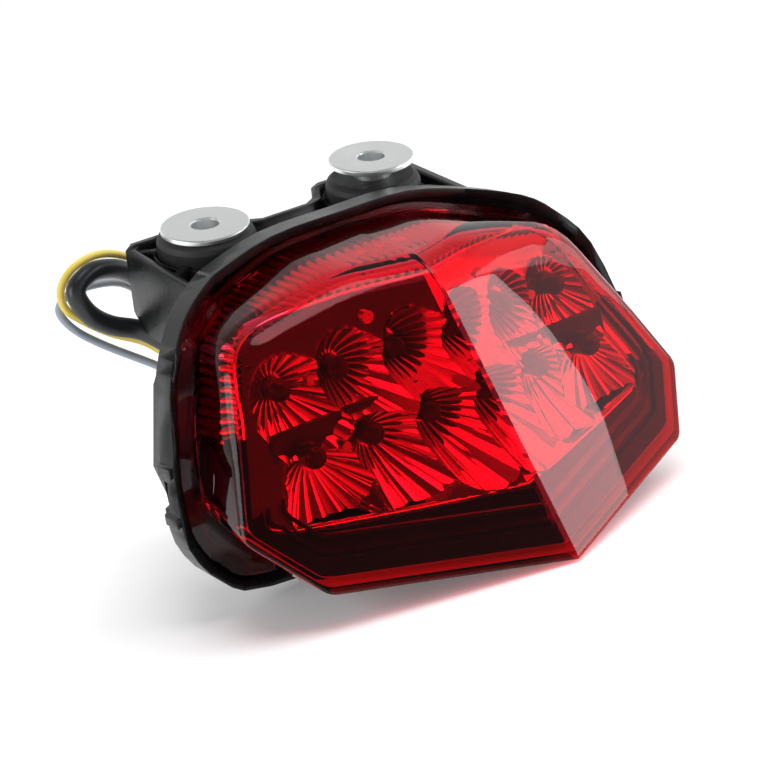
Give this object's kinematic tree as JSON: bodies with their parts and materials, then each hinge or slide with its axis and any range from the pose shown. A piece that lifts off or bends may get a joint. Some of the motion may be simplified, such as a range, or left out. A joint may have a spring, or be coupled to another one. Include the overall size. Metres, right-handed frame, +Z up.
{
  "type": "motorcycle tail light",
  "caption": "LED tail light with a ridged red lens, black housing, rubber-mounted sleeves and a short wire harness.",
  "frame": {"origin": "midway between the two mounting sleeves' axes, on the plane of the seated sleeve's flange", "axes": "+Z up along the mounting bolts, X across the light, the lens faces -Y"},
  "size_m": [0.1244, 0.1249, 0.0676],
  "materials": {
    "rear_housing": "fine-grained black ABS",
    "outer_lens": "clear red polycarbonate, glossy",
    "reflector": "vacuum-metallised plastic, fluted",
    "dark_bezel": "black ABS",
    "lens_seal": "soft cord",
    "upper_led_board": "green circuit board",
    "lower_led_board": "green circuit board",
    "plate_led_board": "green circuit board",
    "upper_row_leds": "clear red epoxy",
    "lower_row_leds": "clear red epoxy",
    "plate_leds": "white LED packages with yellow phosphor",
    "resistors": "beige lacquer",
    "polarity_diodes": "black moulded bodies",
    "regulator_chip": "black moulded package",
    "board_screws": "zinc plated",
    "reflector_screws": "zinc plated",
    "left_grommet": "matt black rubber",
    "right_grommet": "matt black rubber",
    "left_sleeve": "zinc plated, satin",
    "right_sleeve": "zinc plated, satin",
    "breather_plug": "matt black",
    "cable_grommet": "matt black",
    "harness_sleeve": "black PVC tube",
    "yellow_wires": "yellow PVC insulation",
    "grey_wire": "grey PVC insulation",
    "red_wire": "red PVC insulation",
    "black_wire": "black PVC insulation",
    "white_wire": "white PVC insulation",
    "plug_housing": "natural nylon",
    "plug_terminals": "tin-brass",
    "plug_lock": "natural nylon"
  },
  "bodies": {
    "light": {"rear_housing": "rear_housing", "outer_lens": "outer_lens", "reflector": "reflector", "dark_bezel": "dark_bezel", "lens_seal": "lens_seal", "upper_led_board": "upper_led_board", "lower_led_board": "lower_led_board", "plate_led_board": "plate_led_board", "upper_row_leds": "upper_row_leds", "lower_row_leds": "lower_row_leds", "plate_leds": "plate_leds", "resistors": "resistors", "polarity_diodes": "polarity_diodes", "regulator_chip": "regulator_chip", "board_screws": "board_screws", "reflector_screws": "reflector_screws", "left_grommet": "left_grommet", "right_grommet": "right_grommet", "breather_plug": "breather_plug", "cable_grommet": "cable_grommet", "harness_sleeve": "harness_sleeve", "yellow_wires": "yellow_wires", "grey_wire": "grey_wire", "red_wire": "red_wire", "black_wire": "black_wire", "white_wire": "white_wire", "plug_housing": "plug_housing", "plug_terminals": "plug_terminals", "plug_lock": "plug_lock"},
    "left_mount_sleeve": {"left_sleeve": "left_sleeve"},
    "right_mount_sleeve": {"right_sleeve": "right_sleeve"}
  },
  "joints": [
    {"name": "left_sleeve_slide", "type": "slide", "parent": "light", "child": "left_mount_sleeve", "axis": [0, 0, 1], "range_m": [0, 0.0032]},
    {"name": "right_sleeve_slide", "type": "slide", "parent": "light", "child": "right_mount_sleeve", "axis": [0, 0, 1], "range_m": [-0.0032, 0]}
  ]
}
